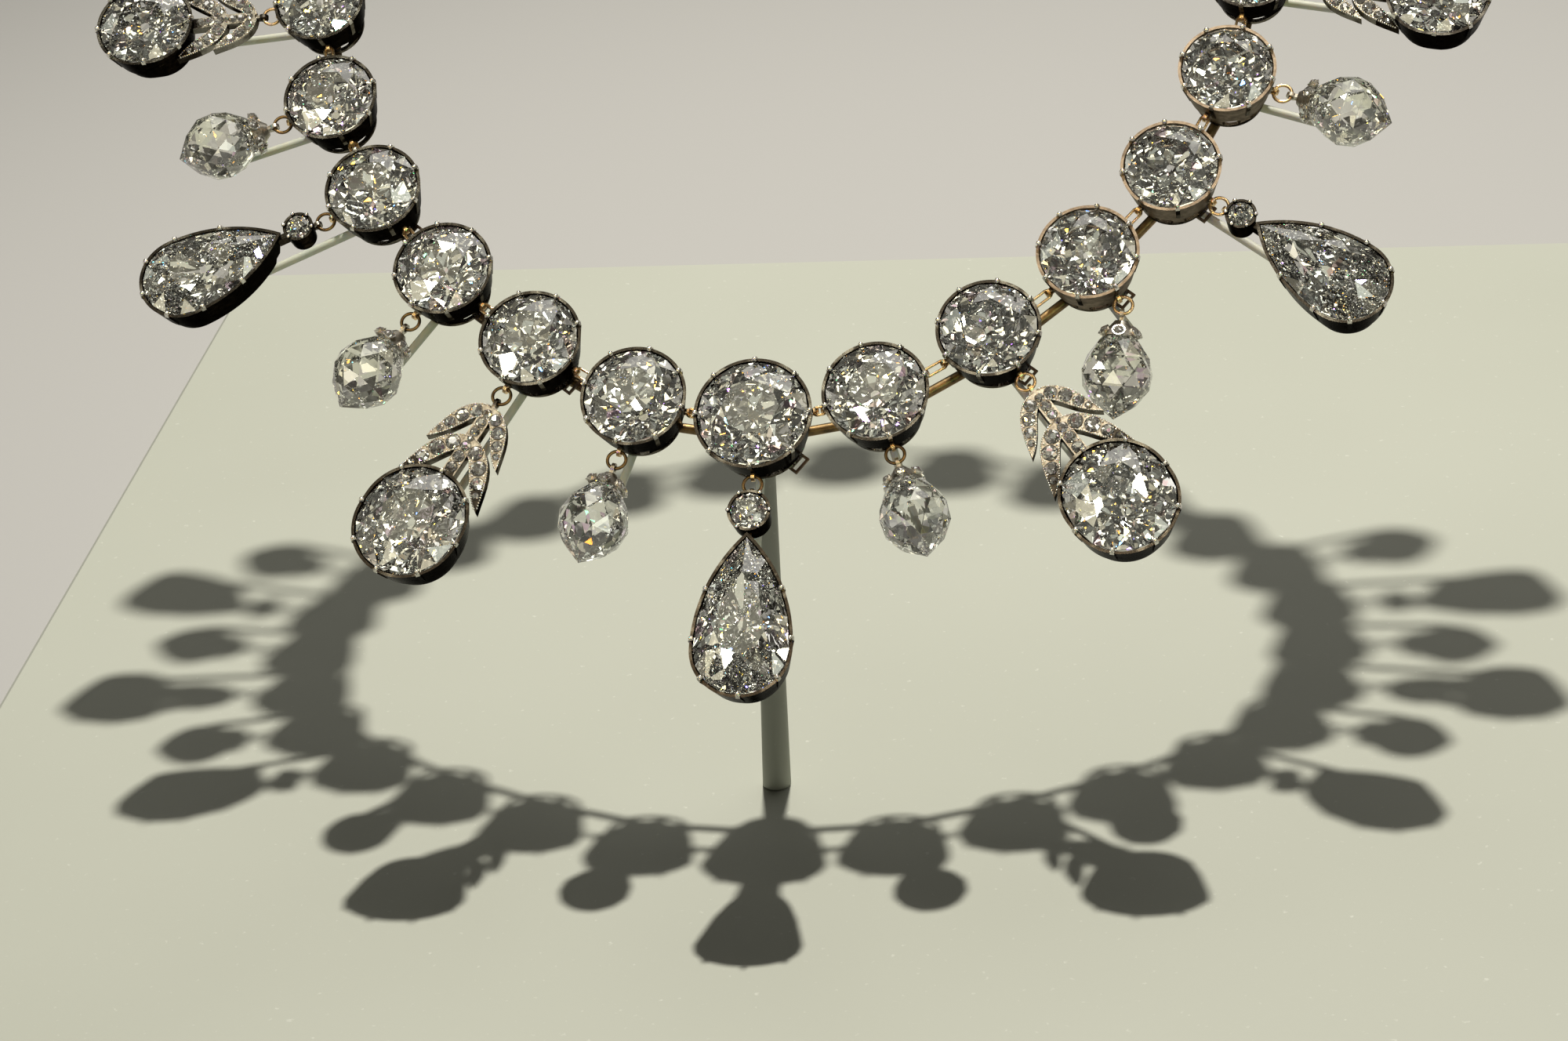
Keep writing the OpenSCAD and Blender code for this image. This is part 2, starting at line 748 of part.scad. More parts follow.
// A wire ring under the whole loop, an arm under each drop and a plate behind the centre
module stand_frame() {
    color("SlateGray") {
        for (k = all_places) {
            a = centre_at(k);
            b = centre_at(next_place(k));
            on_loop([0, 0])
                bar([a[0], a[1], wire_z], [b[0], b[1], wire_z], wire_r, wire_r);
            on_loop(a)
                translate([0, 0, wire_z])
                    sphere(r = wire_r + joint_swell);
        }
        for (k = drop_places)
            on_loop(centre_at(k), bearing_at(k))
                translate([0, 0, wire_z])
                    rotate([0, 90, 0])
                        cylinder(h = arm_reach(k), r = arm_r);
        on_loop([0, 0])
            translate([0, 0, wire_z - wire_r - plate_t / 2])
                cylinder(h = plate_t, r = plate_r);
    }
}

// The post stands on the block and ends in a sloping face under the plate
module stand_post() {
    foot = [post_foot_x, front_y + post_foot_back, block_t];
    plate_under = wire_z - wire_r - plate_t / 2;
    head = [0, front_y - plate_under * sin(loop_tilt), rim_z + plate_under * cos(loop_tilt)];
    over = head + 4 * (head - foot) / norm(head - foot);
    color("SlateGray")
        difference() {
            bar(foot, over, post_d / 2, post_top_d / 2);
            on_loop([0, 0])
                translate([-20, -20, plate_under])
                    cube([40, 40, 20]);
            translate([-20, front_y - 20, block_t - 20])
                cube([40, 40, 20]);
        }
}

module stand_block() {
    edge = 1.5;
    color("Gainsboro")
        difference() {
            translate([-block_side / 2, -block_side / 2, 0])
                cube([block_side, block_side, block_t]);
            for (a = [0 : 90 : 270])
                rotate([0, 0, a])
                    translate([block_side / 2, 0, block_t])
                        rotate([0, 45, 0])
                            cube([edge, 2 * block_side, edge], center = true);
        }
}

// Names of the pieces

function side_name(k) = k == 0 ? "c" : str(k < 0 ? "l" : "r", abs(k));
function setting_name(k) = str(
    drop_at(k) == "pear" ? "pear_setting_" : drop_at(k) == "leaf" ? "leaf_setting_" : "briolette_cap_",
    side_name(k)
);
function stone_name(k) = str(
    drop_at(k) == "pear" ? "pear_stones_" : drop_at(k) == "leaf" ? "oval_stone_" : "briolette_",
    side_name(k)
);
main_list = [for (k = [-main_places : main_places]) k];
left_back = [for (k = [-last_row : -main_places - 1]) k];
right_back = [for (k = [main_places + 1 : back_place]) k];

for (k = main_list) {
    collet(k);
    main_stone(k);
    drop_setting(k);
    drop_stone(k);
}
for (k = left_back) collet(k);  // collets_back_left
for (k = right_back) collet(k);  // collets_back_right
for (k = left_back) main_stone(k);  // stones_back_left
for (k = right_back) main_stone(k);  // stones_back_right
for (k = back_drops) drop_setting(k);  // drop_settings_back
for (k = back_drops) drop_stone(k);  // drop_stones_back
leaf_stones();
chain_links();
clasp();
drop_rings();
stand_frame();
stand_post();
stand_block();
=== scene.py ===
"""Diamond necklace on its display stand: finishes, small stones and beaded edges, studio and camera."""

import math

import bpy
from mathutils import Matrix, Vector, geometry


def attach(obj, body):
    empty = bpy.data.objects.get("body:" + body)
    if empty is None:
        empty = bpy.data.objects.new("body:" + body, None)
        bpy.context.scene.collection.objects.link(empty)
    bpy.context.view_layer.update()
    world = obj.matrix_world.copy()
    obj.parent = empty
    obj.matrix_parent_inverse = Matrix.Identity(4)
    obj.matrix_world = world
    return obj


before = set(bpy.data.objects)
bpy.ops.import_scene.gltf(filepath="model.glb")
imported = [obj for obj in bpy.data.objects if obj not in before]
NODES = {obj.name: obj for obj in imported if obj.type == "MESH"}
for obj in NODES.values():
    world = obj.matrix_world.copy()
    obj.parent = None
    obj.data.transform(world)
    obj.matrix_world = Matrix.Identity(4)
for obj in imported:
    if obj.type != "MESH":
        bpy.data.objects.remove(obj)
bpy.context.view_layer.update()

bl_info = {
    "name": "Diamond Necklace",
    "version": (1, 0, 0),
    "blender": (4, 5, 0),
    "location": "View3D > Sidebar > Necklace",
    "description": "Finishes and small parts of a diamond necklace on a display stand",
    "category": "Add Mesh",
}

# Sizes of the necklace in millimetres, in the frame's own layout

MM = 0.001
HEADING, DROP, LEFT_ANGLE, RIGHT_ANGLE = range(4)
ROW = [
    (10, "pear", 0, 0),
    (31, "briolette", 16, 18),
    (40, "leaf", 29, 36),
    (49, "briolette", 35, 35),
    (63, "pear", 64, 53),
    (79, "briolette", 71, 71),
    (89, "leaf", 84, 79),
    (97, "briolette", 103, 87),
    (108, "pear", 112, 98),
    (123, "briolette", 120, 120),
    (130, "none", 125, 125),
    (140, "none", 135, 135),
    (154, "none", 150, 150),
    (180, "none", 165, 165),
]
LAST = len(ROW) - 1
BACK = len(ROW)
LEAVES = {2: (1, 0.6), 6: (0.82, 0.5)}
CENTRE_D, ROW_D, STEP_D, BACK_D = 14, 12.9, 0.25, 11
CENTRE_GAP, RIM_GAP = 1.2, 2.6
TILT, RIM_Z, FRONT_Y = 38.6, 62.2, -47
TAPER, CUP_DEPTH = 0.9, 4.3
LUG_Z, LUG_OUT, RING_R = -2.7, 0.45, 1.1
LOOSE_PLACE, LOOSE_TURN, LOOSE_DROOP = 3, -6, 20
OVAL_W, OVAL_CENTRE, BACK_OVAL = 13.4, 18, 0.85
LEAF_START, LEAF_TOP, LEAF_PITCH, SECOND_WINGS = 0.7, -2, 4.5, 1.16
SETTING_RIM = -0.6
# A cap's stones: how many, where they stand along the drop and out from its middle, and their tip
CAP_STONES, CAP_STONE_X, CAP_STONE_OUT, CAP_STONE_TIP = 6, 2.09, 2.14, -40
WING = [Vector(p) for p in ((0.8, 0.1), (1.3, 2.7), (4.1, 3), (6.9, 5))]
WING_STONES = (0.2, 0.45, 0.66, 0.81)
STEM_STONES = (1.15, 2.45, 3.75)
# How far across a wing its edge beads and its grains stand, and the grains' distance from the stem's middle
BEAD_ACROSS, GRAIN_ACROSS, STEM_GRAIN_Y = 0.93, 0.66, 0.52
# Height of the sewing loops under a collet, and the frame's ring and plate, which aren't painted
SEWING_LOOP_Z, RING_HALF, PLATE_R = -6.3, 1.1, 4.5


def collet_r(i):
    return (CENTRE_D if i == 0 else max(BACK_D, ROW_D - STEP_D * i)) / 2


def place_step(i):
    return collet_r(i) + collet_r(i + 1) + (CENTRE_GAP if i == 0 else RIM_GAP)


def direction(angle):
    return Vector((math.cos(math.radians(angle)), math.sin(math.radians(angle))))


def half_row():
    """Middles of the collets from the centre round to the back one."""
    places = [Vector((0, 0))]
    for i in range(LAST):
        places.append(places[-1] + place_step(i) * direction(ROW[i][HEADING]))
    last = places[-1]
    places.append(Vector((0, last.y + math.sqrt(place_step(LAST) ** 2 - last.x**2))))
    return places


HALF_ROW = half_row()
PLACES = range(-LAST, BACK + 1)


def centre_at(k):
    p = HALF_ROW[abs(k)]
    return Vector((-p.x if k < 0 else p.x, p.y))


def drop_at(k):
    return "none" if k == BACK else ROW[abs(k)][DROP]


def bearing_at(k):
    if k == BACK:
        return 90
    angle = ROW[abs(k)][LEFT_ANGLE if k < 0 else RIGHT_ANGLE]
    return -90 + (-angle if k < 0 else angle)


def cup_r(r, z):
    return r + TAPER * z / CUP_DEPTH


def turn_about(axis, angle):
    return Matrix.Rotation(math.radians(angle), 4, axis)


def on_loop(p, turn=0):
    """Place in the loop's own plane, in millimetres, with Z off the faces of the stones."""
    return (
        Matrix.Scale(MM, 4)
        @ Matrix.Translation((0, FRONT_Y, RIM_Z))
        @ turn_about("X", TILT)
        @ Matrix.Translation((p[0], p[1], 0))
        @ turn_about("Z", turn)
    )


def on_drop(k):
    """Place at a drop's eye, in millimetres, with X pointing away from its collet."""
    loose = k == LOOSE_PLACE
    swing = -90 + LOOSE_TURN if loose else bearing_at(k)
    hole = cup_r(collet_r(abs(k)), LUG_Z) + LUG_OUT
    origin = centre_at(k) + (hole + RING_R) * direction(bearing_at(k)) + RING_R * direction(swing)
    return (
        on_loop(origin, swing)
        @ Matrix.Translation((0, 0, LUG_Z))
        @ turn_about("Y", LOOSE_DROOP if loose else 0)
        @ Matrix.Translation((0, 0, -LUG_Z))
    )


def oval_r(k):
    return OVAL_W / 2 * (1 if abs(k) == 2 else BACK_OVAL)


def oval_x(k):
    return OVAL_CENTRE * LEAVES[abs(k)][0]


def wing_mid(t):
    """Middle line of a leaf's wing, t from 0 at the stem to 1 at the tip."""
    u = 1 - t
    return u**3 * WING[0] + 3 * t * u**2 * WING[1] + 3 * t**2 * u * WING[2] + t**3 * WING[3]


def wing_half(t):
    return math.cos(math.radians(90 * t**1.6)) * (0.8 + 0.6 * t)


def wing_point(t, across):
    """Point of a wing. across is -1 or 1 on its edges and 0 on its middle line."""
    run = (wing_mid(t + 0.01) - wing_mid(t - 0.01)).normalized()
    return wing_mid(t) + across * wing_half(t) * Vector((-run.y, run.x))


# Shader maths


class Value:
    """A number or colour socket that Python's operators combine into nodes."""

    def __init__(self, tree, socket):
        self.tree = tree
        self.socket = socket

    def _math(self, operation, *values):
        node = self.tree.nodes.new("ShaderNodeMath")
        node.operation = operation
        for place, value in enumerate(values):
            plug(self.tree, node.inputs[place], value)
        return Value(self.tree, node.outputs[0])

    def __add__(self, other):
        return self._math("ADD", self, other)

    def __radd__(self, other):
        return self._math("ADD", other, self)

    def __sub__(self, other):
        return self._math("SUBTRACT", self, other)

    def __rsub__(self, other):
        return self._math("SUBTRACT", other, self)

    def __mul__(self, other):
        return self._math("MULTIPLY", self, other)

    def __rmul__(self, other):
        return self._math("MULTIPLY", other, self)

    def __gt__(self, other):
        return self._math("GREATER_THAN", self, other)

    def clamped(self, low=0.0, high=1.0):
        return self._math("MINIMUM", self._math("MAXIMUM", self, low), high)


def plug(tree, socket, value):
    """Links a Value to a socket, or sets a plain one."""
    if isinstance(value, Value):
        tree.links.new(value.socket, socket)
    else:
        socket.default_value = value


class Finish:
    """One procedural material."""

    def __init__(self, name):
        self.material = bpy.data.materials.new(name)
        self.material.use_nodes = True
        self.tree = self.material.node_tree
        self.tree.nodes.clear()
        self.shader = self.tree.nodes.new("ShaderNodeBsdfPrincipled")
        output = self.tree.nodes.new("ShaderNodeOutputMaterial")
        self.tree.links.new(self.shader.outputs[0], output.inputs[0])

    def node(self, kind, settings=None, output=0, **values):
        """Adds a node of a kind, with its settings first and then its sockets."""
        node = self.tree.nodes.new("ShaderNode" + kind)
        for name, value in (settings or {}).items():
            setattr(node, name, value)
        for name, value in values.items():
            key = int(name[1:]) if name[0] == "_" else name.replace("_", " ")
            plug(self.tree, node.inputs[key], value)
        return Value(self.tree, node.outputs[output])

    def place(self):
        return self.node("TexCoord", output="Object")

    def noise(self, scale, detail=4.0, roughness=0.55):
        return self.node("TexNoise", Vector=self.place(), Scale=scale, Detail=detail, Roughness=roughness)

    def vector(self, operation, *values):
        node = self.tree.nodes.new("ShaderNodeVectorMath")
        node.operation = operation
        for place, value in enumerate(values):
            plug(self.tree, node.inputs[place], value)
        return Value(self.tree, node.outputs[0])

    def mix(self, factor, first, second):
        return self.node("Mix", {"data_type": "RGBA"}, 2, _0=factor, _6=first, _7=second)

    def bump(self, height, strength, distance):
        return self.node("Bump", Height=height, Strength=strength, Distance=distance)

    def set(self, **values):
        for name, value in values.items():
            plug(self.tree, self.shader.inputs[name.replace("_", " ")], value)
        return self.material


def opaque(colour):
    return (*colour, 1.0)


# Finishes


def oxidised_silver(colours, name="oxidised silver", bare=0.0):
    """Blackened silver with a brown bloom, rubbed through to grey as bare grows from 0 to 1."""
    m = Finish(name)
    bloom = m.noise(380.0)
    stains = m.noise(1500.0, 6.0, 0.7)
    rubbed = (bloom * 3.0 - 2.1 + 2.4 * bare).clamped(0.0, 0.25 + 0.75 * bare)
    black = m.mix((stains * 2.2 - 0.6).clamped(), opaque((0.022, 0.020, 0.018)), opaque(colours.oxide))
    worn = m.mix((bloom * 1.8 - 0.4).clamped(), opaque((0.20, 0.18, 0.15)), opaque((0.48, 0.46, 0.41)))
    return m.set(
        Base_Color=m.mix(rubbed, black, worn),
        Metallic=1.0,
        Roughness=(0.16 + 0.22 * stains).clamped(),
        Specular_Tint=opaque((0.2, 0.2, 0.2)),
        Normal=m.bump(m.noise(5000.0, 2.0), 0.12, 0.00004),
    )


def bright_silver(colours, name, tarnish):
    """Worn silver, bright where it is rubbed and grey brown where it is not."""
    m = Finish(name)
    wear = m.noise(1400.0, 5.0, 0.65)
    grain = m.noise(8000.0, 2.0)
    return m.set(
        Base_Color=m.mix(
            (wear * 2.4 - 0.9).clamped() * tarnish, opaque(colours.silver), opaque((0.17, 0.14, 0.11))
        ),
        Metallic=1.0,
        Roughness=(0.14 + 0.25 * wear).clamped(),
        Normal=m.bump(grain, 0.2, 0.00004),
    )


def satin_silver():
    """Brownish satin silver, lighter than the blackened finish, with fine rubbed lines."""
    m = Finish("satin silver")
    bloom = m.noise(900.0, 5.0, 0.65)
    lines = m.noise(7000.0, 2.0)
    return m.set(
        Base_Color=m.mix(
            (bloom * 2.6 - 0.8).clamped(), opaque((0.25, 0.20, 0.145)), opaque((0.08, 0.062, 0.045))
        ),
        Metallic=1.0,
        Roughness=(0.28 + 0.3 * bloom).clamped(),
        Specular_Tint=opaque((0.5, 0.5, 0.5)),
        Normal=m.bump(lines, 0.3, 0.00005),
    )


def leaf_metal():
    """Silver of the leaves and caps, in random patches of brown and of bright rubbed silver."""
    m = Finish("leaf silver")
    wear = m.noise(1900.0, 4.0, 0.6)
    return m.set(
        Base_Color=m.mix(
            (wear * 2.6 - 0.8).clamped(), opaque((0.60, 0.575, 0.51)), opaque((0.15, 0.13, 0.10))
        ),
        Metallic=1.0,
        Roughness=(0.22 + 0.3 * wear).clamped(),
        Normal=m.bump(m.noise(6000.0, 2.0), 0.25, 0.00005),
    )


def old_gold(colours):
    m = Finish("old gold")
    wear = m.noise(1700.0, 5.0, 0.6)
    return m.set(
        Base_Color=m.mix((wear * 2.6 - 1.1).clamped(), opaque(colours.gold), opaque((0.25, 0.16, 0.08))),
        Metallic=1.0,
        Roughness=(0.14 + 0.3 * wear).clamped(),
    )


def dark_brass():
    m = Finish("dark brass")
    bloom = m.noise(700.0, 5.0, 0.6)
    return m.set(
        Base_Color=m.mix(
            (bloom * 2.4 - 0.7).clamped(), opaque((0.05, 0.038, 0.025)), opaque((0.30, 0.20, 0.09))
        ),
        Metallic=1.0,
        Roughness=(0.25 + 0.3 * bloom).clamped(),
    )


def cut_diamond(name, body, painted_fire_share, clearness=1.0, mirror=0.0, patches=450.0, tilt=0.03):
    """Clear stone with slightly uneven facets, each with a faint painted warm or cool tint or a stronger
    painted colour that stands in for the coloured glints of dispersion.

    The share after the body colour is the share of patches with the strong painted colour. mirror makes a
    stone part metal, and patches and tilt set how many uneven patches it has and how far they lean. Small
    stones get more of all three to look as bright as they do by eye.
    """
    m = Finish(name)
    facing = m.node("NewGeometry", output="True Normal")
    patch = m.node("TexVoronoi", {"feature": "F1"}, "Color", Vector=m.place(), Scale=patches)
    uneven = m.vector("MULTIPLY_ADD", patch, (2 * tilt, 2 * tilt, 2 * tilt), (-tilt, -tilt, -tilt))
    normal = m.vector("NORMALIZE", m.vector("ADD", facing, uneven))
    seed = m.vector("ADD", facing, patch)
    chance = m.node("TexWhiteNoise", {"noise_dimensions": "3D"}, Vector=seed)
    painted_fire_hue = m.node("TexWhiteNoise", {"noise_dimensions": "3D"}, 1, Vector=seed)
    # Painted fire: a faint warm or cool tint on every facet, and a strong random colour on a share of them,
    # stand in for the coloured glints of dispersion
    painted_facet_tint = m.mix(chance, opaque((1.0, 0.97, 0.88)), opaque((0.93, 0.97, 1.0)))
    painted_fire_colour = m.mix(0.2, painted_fire_hue, opaque((1.0, 1.0, 1.0)))
    return m.set(
        # The painted fire colours go over the stone's body colour
        Base_Color=m.mix((chance > 1 - painted_fire_share) * 0.6, m.mix(0.5, opaque(body), painted_facet_tint), painted_fire_colour),
        Roughness=0.0,
        Metallic=mirror,
        Transmission_Weight=clearness,
        IOR=2.42,
        Normal=normal,
    )


def pale_paint(colours, name):
    """Matt paint with soft cloudiness, fine specks and a faint orange peel."""
    m = Finish(name)
    cloud = m.noise(9.0, 3.0)
    specks = m.noise(900.0, 2.0)
    peel = m.noise(2200.0, 2.0)
    ground = m.mix((cloud * 1.6 - 0.4).clamped(), opaque(colours.paint), opaque(colours.paint_shade))
    return m.set(
        Base_Color=m.mix((specks * 9.0 - 6.1).clamped() * 0.3, ground, opaque((0.84, 0.86, 0.80))),
        Roughness=(0.42 + 0.2 * cloud).clamped(),
        Normal=m.bump(peel, 0.12, 0.00006),
    )


class NecklaceColours(bpy.types.PropertyGroup):
    """Colours of the finishes."""

    oxide: bpy.props.FloatVectorProperty(
        name="Oxide",
        description="Dark bloom on the collets",
        subtype="COLOR",
        default=(0.065, 0.056, 0.046),
    )
    silver: bpy.props.FloatVectorProperty(
        name="Silver",
        description="Rubbed silver of claws, beads and bezels",
        subtype="COLOR",
        default=(0.80, 0.78, 0.73),
    )
    gold: bpy.props.FloatVectorProperty(
        name="Gold",
        description="Links and jump rings",
        subtype="COLOR",
        default=(0.76, 0.57, 0.33),
    )
    paint: bpy.props.FloatVectorProperty(
        name="Paint",
        description="Pale paint of the stand",
        subtype="COLOR",
        default=(0.475, 0.495, 0.43),
    )
    paint_shade: bpy.props.FloatVectorProperty(
        name="Paint shade",
        description="Cloudy tone in the paint",
        subtype="COLOR",
        default=(0.41, 0.427, 0.365),
    )


class NecklaceSizes(bpy.types.PropertyGroup):
    """Sizes of the small details."""

    bead_d: bpy.props.FloatProperty(
        name="Edge bead",
        description="Diameter of a bead on a leaf's edge",
        default=0.00024,
        subtype="DISTANCE",
        unit="LENGTH",
    )
    grain_d: bpy.props.FloatProperty(
        name="Grain",
        description="Diameter of a grain between two small stones",
        default=0.0003,
        subtype="DISTANCE",
        unit="LENGTH",
    )
    rose_d: bpy.props.FloatProperty(
        name="Cap stone",
        description="Width of a rose-cut stone on a cap",
        default=0.0014,
        subtype="DISTANCE",
        unit="LENGTH",
    )
    camera_lens: bpy.props.FloatProperty(
        name="Lens",
        description="Focal length in millimetres",
        default=90.36,
    )


# Dressing the solids


def dress(name, materials, choose):
    """Gives a node's faces their finishes.

    choose takes a face's middle and normal and returns the finish's place in materials.
    """
    mesh = NODES[name].data
    mesh.materials.clear()
    for material in materials:
        mesh.materials.append(material)
    for face in mesh.polygons:
        face.material_index = choose(face.center, face.normal)


# New pieces


def spot(place, x, y, z, turn=0, tip=0):
    """An unscaled place, in metres, at a point given in millimetres in a place on the loop."""
    return (
        place
        @ Matrix.Translation((x, y, z))
        @ turn_about("Z", turn)
        @ turn_about("Y", tip)
        @ Matrix.Scale(1 / MM, 4)
    )


def set_copies(pattern, places, name, material):
    """Copies the pattern to each place, with a mesh for each copy, and joins them to one piece."""
    bpy.ops.object.select_all(action="DESELECT")
    for place in places:
        copy = pattern.copy()
        copy.data = pattern.data.copy()
        copy.matrix_world = place
        bpy.context.collection.objects.link(copy)
        copy.select_set(True)
        bpy.context.view_layer.objects.active = copy
    bpy.ops.object.join()
    bpy.ops.object.transform_apply(location=True, rotation=True, scale=True)
    piece = bpy.context.object
    piece.name = name
    piece.data.name = name
    piece.data.materials.clear()
    piece.data.materials.append(material)
    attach(piece, "root")
    bpy.data.objects.remove(pattern)


def grain_pattern(width):
    """A raised grain of silver: a low dome, cut off flat where it meets the plate."""
    bpy.ops.object.select_all(action="DESELECT")
    bpy.ops.mesh.primitive_uv_sphere_add(segments=8, ring_count=6, radius=width / 2)
    bpy.ops.object.mode_set(mode="EDIT")
    bpy.ops.mesh.select_all(action="SELECT")
    bpy.ops.mesh.bisect(
        plane_co=(0, 0, -0.2 * width),
        plane_no=(0, 0, 1),
        use_fill=True,
        clear_inner=True,
        threshold=1e-8,
    )
    bpy.ops.object.mode_set(mode="OBJECT")
    bpy.ops.object.shade_smooth_by_angle(angle=math.radians(50))
    return bpy.context.object


# Places of the finishes in a setting's list. A sewing loop takes the satin one
WALL, BRIGHT, EYE, WORN, RIM, SATIN, LEAF, LOOP = range(8)
FINISH_NAMES = (
    "oxidised silver",
    "bright silver",
    "old gold",
    "rubbed silver",
    "dark rim",
    "satin silver",
)
# Places of the collets whose walls and rims take the brownish satin finish instead of the black one
SATIN_WALL_PLACES = (3, 4, 5)
# Places of the drops whose jump rings take dark brass as painted shade; the other rings stay gold
SHADED_RING_PLACES = range(-5, 2)
SETTING_NAMES = ("pear_setting", "leaf_setting", "briolette_cap", "drop_settings")


def collet_face(q, r):
    """Finish of a face of a round collet, from its middle q in the collet's own place."""
    out = math.hypot(q.x, q.y)
    wall = cup_r(r, max(q.z, -CUP_DEPTH))
    if q.z > 0.02:
        return BRIGHT
    if q.z > -CUP_DEPTH and out > wall + 0.2:
        return EYE
    if q.z > -0.04:
        return RIM
    if q.z < SEWING_LOOP_Z:
        return LOOP if out > r - TAPER - 0.2 else WORN
    if q.z > -CUP_DEPTH and out > wall + 0.03:
        return WORN
    return WALL


def side_name(k):
    return "c" if k == 0 else ("l" if k < 0 else "r") + str(abs(k))


class NECKLACE_OT_collets(bpy.types.Operator):
    """Finish the round collets: dark walls, rubbed rims, ribs and beads"""

    bl_idname = "necklace.collets"
    bl_label = "Collets"

    def execute(self, context):
        colours = context.scene.necklace_colours
        finishes = [
            oxidised_silver(colours),
            bright_silver(colours, "bright silver", 0.6),
            old_gold(colours),
            oxidised_silver(colours, "rubbed silver", 0.45),
            oxidised_silver(colours, "dark rim", 0.24),
            satin_silver(),
        ]
        groups = {"collet_" + side_name(k): [k] for k in range(-5, 6)}
        groups["collets_back_left"] = list(range(-LAST, -5))
        groups["collets_back_right"] = list(range(6, BACK + 1))
        for name, places in groups.items():
            inverse = {k: on_loop(centre_at(k)).inverted() for k in places}

            def choose(middle, _normal):
                k = min(places, key=lambda p: (inverse[p] @ middle).length)
                finish = collet_face(inverse[k] @ middle, collet_r(abs(k)))
                if finish == LOOP or (finish in (WALL, RIM) and k in SATIN_WALL_PLACES):
                    return SATIN
                return finish

            dress(name, finishes, choose)
        return {"FINISHED"}


class NECKLACE_OT_drop_settings(bpy.types.Operator):
    """Finish the settings of the drops"""

    bl_idname = "necklace.drop_settings"
    bl_label = "Drop settings"

    def execute(self, context):
        materials = bpy.data.materials
        finishes = [materials[n] for n in FINISH_NAMES]
        finishes.append(leaf_metal())
        drops = [k for k in PLACES if drop_at(k) != "none"]
        inverse = {k: on_drop(k).inverted() for k in drops}
        for name in [n for n in NODES if n.startswith(SETTING_NAMES)]:

            def choose(middle, normal):
                k = min(drops, key=lambda p: (inverse[p] @ middle - Vector((8, 0, LUG_Z))).length)
                q = inverse[k] @ middle
                up = (inverse[k].to_3x3() @ normal).normalized().z
                kind = drop_at(k)
                if kind == "briolette":
                    return LEAF
                if q.x < 0.35:
                    # Painted shade: the eyes from R2 round the right are gold, and those on the left, at
                    # the centre and at R1 take rubbed silver
                    return EYE if k > 1 else WORN
                if kind == "leaf" and q.x < oval_x(k) - oval_r(k) - LEAVES[abs(k)][1] - 0.4:
                    return LEAF if up > 0.5 else WORN
                if q.z > SETTING_RIM + 0.02:
                    return BRIGHT
                if up > 0.9 and q.z > SETTING_RIM - 0.4:
                    return RIM
                return WALL

            dress(name, finishes, choose)
        return {"FINISHED"}


class NECKLACE_OT_stones(bpy.types.Operator):
    """Give the cut stones their clear and faintly yellow bodies"""

    bl_idname = "necklace.stones"
    bl_label = "Stones"

    def execute(self, context):
        clear = cut_diamond("diamond", (1.0, 1.0, 1.0), 0.08)
        yellow = cut_diamond("yellow diamond", (0.99, 0.97, 0.86), 0.05)
        small = cut_diamond("small diamond", (1.0, 1.0, 1.0), 0.05, 0.9, 0.4, 1700.0, 0.3)
        dress("leaf_stones", [small], lambda middle, normal: 0)
        for name in NODES:
            if name.startswith(("stone_", "stones_", "pear_stones", "oval_stone", "drop_stones")):
                dress(name, [clear], lambda middle, normal: 0)
            elif name.startswith("briolette_") and "cap" not in name:
                dress(name, [clear if name.endswith("1") else yellow], lambda middle, normal: 0)
        return {"FINISHED"}


class NECKLACE_OT_leaf_grains(bpy.types.Operator):
    """Set the grains between the small stones and the beaded edges of the leaves"""

    bl_idname = "necklace.leaf_grains"
    bl_label = "Leaf grains"

    def execute(self, context):
        sizes = context.scene.necklace_sizes
        silver = bpy.data.materials["bright silver"]
        edge_places = []
        grain_places = []
        for k in [k for k in PLACES if drop_at(k) == "leaf"]:
            size = LEAVES[abs(k)][0]
            for start, scale in ((0, size), (LEAF_PITCH * size, size * SECOND_WINGS)):
                for p in self.edge_points(sizes.bead_d / MM / scale * 1.05):
                    for side in (-1, 1):
                        x = LEAF_START + start + scale * p.x
                        edge_places.append(spot(on_drop(k), x, side * scale * p.y, LEAF_TOP))
                for p in self.grain_points():
                    for side in (-1, 1):
                        x = LEAF_START + start + scale * p.x
                        grain_places.append(spot(on_drop(k), x, side * scale * p.y, LEAF_TOP))
        set_copies(grain_pattern(sizes.bead_d), edge_places, "leaf_edge_beads", silver)
        set_copies(grain_pattern(sizes.grain_d), grain_places, "leaf_grains", silver)
        return {"FINISHED"}

    def edge_points(self, pitch):
        """Points a pitch apart along both edges of a wing, just inside its outline."""
        points = []
        for side in (1, -1):
            for step in range(2, 96):
                p = wing_point(step / 100, BEAD_ACROSS * side)
                if p.y > 0.3 and all((p - q).length > pitch for q in points):
                    points.append(p)
        return points

    def grain_points(self):
        """Points between neighbouring stones, near the edges of a wing and of the stem."""
        between = [(a + b) / 2 for a, b in zip(WING_STONES, WING_STONES[1:])]
        points = [wing_point(t, side * GRAIN_ACROSS) for t in between for side in (1, -1)]
        stem = [(a + b) / 2 for a, b in zip(STEM_STONES, STEM_STONES[1:])]
        return points + [Vector((x, STEM_GRAIN_Y)) for x in stem]


